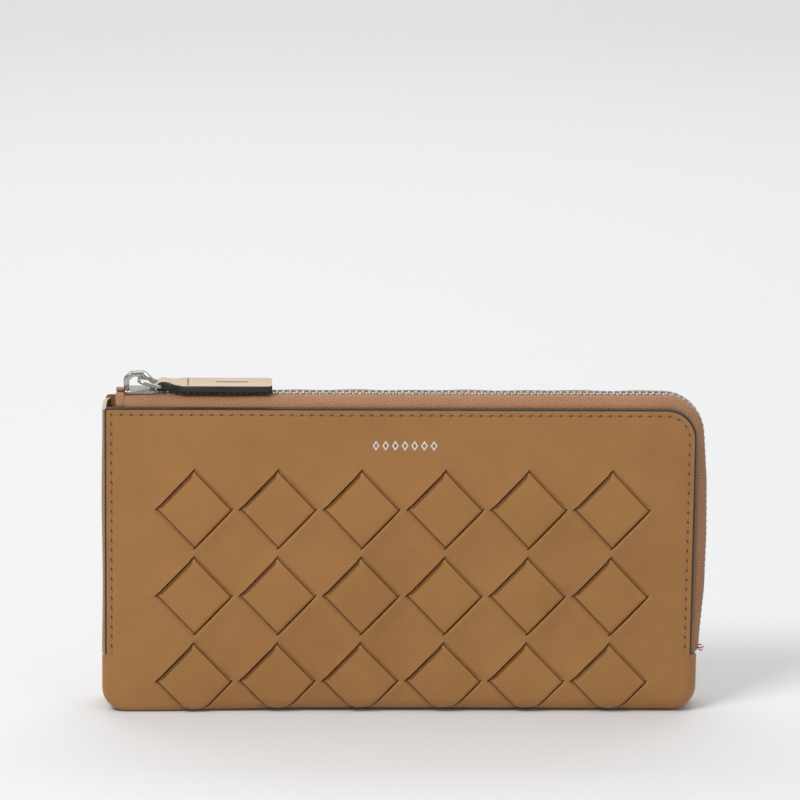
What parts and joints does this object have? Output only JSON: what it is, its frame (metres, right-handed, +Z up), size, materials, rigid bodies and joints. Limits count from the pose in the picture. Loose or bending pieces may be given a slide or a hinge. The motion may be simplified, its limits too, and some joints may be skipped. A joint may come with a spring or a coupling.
{
  "type": "zip wallet",
  "caption": "Long leather zip wallet with a woven front, L-shaped zip, leather pull, card slots and a zipped coin pocket.",
  "frame": {"origin": "middle of the flat bottom that the wallet stands on", "axes": "+X along the wallet to the end that opens, -Y out of the woven front, +Z up"},
  "size_m": [0.1964, 0.0222, 0.1102],
  "materials": {
    "tan_leather": "smooth calf, satin",
    "pull_leather": "smooth calf with dark painted edges",
    "thread": "waxed polyester thread",
    "foil": "silver foil",
    "stiff_board": "bonded board",
    "lining": "twill lining",
    "slot_leather": "thin split leather",
    "zip_tape": "herringbone twill tape",
    "zip_metal": "bright nickel",
    "polished_metal": "polished nickel"
  },
  "bodies": {
    "case_back": {"back_board": "stiff_board", "back_lining": "lining", "back_panel": "tan_leather", "back_stitching": "thread", "base_wrap": "tan_leather", "card_slot_left_1": "slot_leather", "card_slot_left_2": "slot_leather", "card_slot_left_3": "slot_leather", "card_slot_right_1": "slot_leather", "card_slot_right_2": "slot_leather", "card_slot_right_3": "slot_leather", "card_slot_stitching": "thread", "coin_pocket_back": "lining", "coin_pocket_front": "lining", "coin_pocket_gusset": "lining", "coin_zip_tape_back": "zip_tape", "coin_zip_tape_front": "zip_tape", "coin_zip_teeth_back": "zip_metal", "coin_zip_teeth_front": "zip_metal", "left_gusset": "tan_leather", "pocket_hinge_strip": "lining", "zip_bottom_stop": "zip_metal", "zip_tape_back": "zip_tape", "zip_tape_fold_back": "zip_tape", "zip_teeth_back": "zip_metal"},
    "case_front": {"front_panel": "tan_leather", "front_board": "stiff_board", "front_lining": "lining", "front_slip_pocket": "lining", "front_stitching": "thread", "front_foil_mark": "foil", "zip_tape_front": "zip_tape", "zip_tape_fold_front": "zip_tape", "zip_teeth_front": "zip_metal", "weave_strap_1": "tan_leather", "weave_strap_2": "tan_leather", "weave_strap_3": "tan_leather", "weave_strap_4": "tan_leather", "weave_strap_5": "tan_leather", "weave_strap_6": "tan_leather", "weave_strap_7": "tan_leather", "weave_strap_8": "tan_leather"},
    "zip_slider": {"slider_body": "polished_metal", "slider_bridge": "polished_metal"},
    "ring": {"pull_ring": "polished_metal"},
    "pull": {"leather_pull": "pull_leather", "pull_stitching": "thread"},
    "coin_slider": {"coin_slider": "polished_metal"},
    "coin_pull": {"coin_pull": "polished_metal"}
  },
  "joints": [
    {"name": "front_open", "type": "hinge", "parent": "case_back", "child": "case_front", "pos_m": [0, -0.0097, 0.003], "axis": [1, 0, 0], "range_deg": [0, 17], "deforming": ["left_gusset", "zip_tape_front", "zip_tape_fold_front", "zip_tape_fold_back", "zip_tape_back", "zip_teeth_front", "zip_teeth_back"]},
    {"name": "zip_slide", "type": "slide", "parent": "case_back", "child": "zip_slider", "axis": [1, 0, 0], "range_m": [0, 0.15]},
    {"name": "ring_swing", "type": "hinge", "parent": "zip_slider", "child": "ring", "pos_m": [-0.084, 0, 0.1082], "axis": [0, -1, 0], "range_deg": [0, 110]},
    {"name": "pull_swing", "type": "hinge", "parent": "ring", "child": "pull", "pos_m": [-0.0766, 0, 0.1062], "axis": [0, -1, 0], "range_deg": [0, 45]},
    {"name": "coin_zip_slide", "type": "slide", "parent": "case_back", "child": "coin_slider", "axis": [1, 0, 0], "range_m": [0, 0.15]},
    {"name": "coin_pull_swing", "type": "hinge", "parent": "coin_slider", "child": "coin_pull", "pos_m": [-0.081, 0.0001, 0.0931], "axis": [0, -1, 0], "range_deg": [0, 20]}
  ],
  "couplings": [
    {"joint": "zip_slide", "follows": "front_open", "m_per_rad": 0.5}
  ]
}
